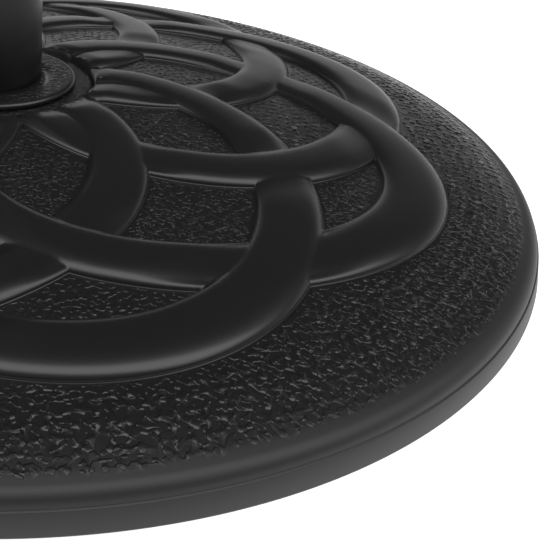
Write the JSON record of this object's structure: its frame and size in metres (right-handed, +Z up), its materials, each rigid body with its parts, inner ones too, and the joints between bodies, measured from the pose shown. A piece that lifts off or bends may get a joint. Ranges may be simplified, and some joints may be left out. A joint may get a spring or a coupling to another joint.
{
  "type": "parasol base",
  "caption": "Low domed round parasol base with interlaced ring relief, a bolted upright tube, a lift-out pole reducer and a screw clamp knob.",
  "frame": {"origin": "on the ground under the tube's axis, in the plane of the rubber feet's undersides", "axes": "+Z up along the tube; the clamp knob points to -Y; +X to the right of a person facing the knob"},
  "size_m": [0.45, 0.45, 0.3375],
  "materials": {
    "shell_resin": "satin black moulded resin, pebbled in the recesses and on the border",
    "collar_resin": "satin black moulded resin, pebbled top and smooth lip",
    "tube_coat": "satin black powder coat",
    "zinc_steel": "bright zinc plate",
    "concrete": "cast concrete",
    "foot_rubber": "moulded black rubber",
    "trim_plastic": "fine textured black plastic",
    "reducer_plastic": "smooth dark grey plastic",
    "knob_plastic": "fine textured black plastic"
  },
  "bodies": {
    "base": {"top_shell": "shell_resin", "bottom_pan": "shell_resin", "ballast": "concrete", "anchor_sleeve": "zinc_steel", "centre_bolt": "zinc_steel", "flat_washer": "zinc_steel", "spring_washer": "zinc_steel", "tube_foot_plug": "zinc_steel", "tube": "tube_coat", "tube_collar": "collar_resin", "rubber_feet": "foot_rubber", "pan_screws": "zinc_steel", "filler_plug": "shell_resin", "tube_top_ring": "trim_plastic", "weld_nut": "tube_coat"},
    "reducer": {"pole_reducer": "reducer_plastic"},
    "shoe": {"pressure_shoe": "reducer_plastic"},
    "knob": {"clamp_screw": "zinc_steel", "knob_body": "knob_plastic", "knob_cap": "knob_plastic"}
  },
  "joints": [
    {"name": "shoe_slide", "type": "slide", "parent": "base", "child": "shoe", "axis": [0, 1, 0], "range_m": [0, 0.0125]},
    {"name": "knob_turn", "type": "hinge", "parent": "shoe", "child": "knob", "pos_m": [0, -0.05, 0.292], "axis": [0, 1, 0], "range_deg": [0, 3600]},
    {"name": "reducer_lift", "type": "slide", "parent": "base", "child": "reducer", "axis": [0, 0, 1], "range_m": [0, 0.125]}
  ],
  "couplings": [
    {"joint": "shoe_slide", "follows": "knob_turn", "m_per_rad": 0.00019894}
  ]
}
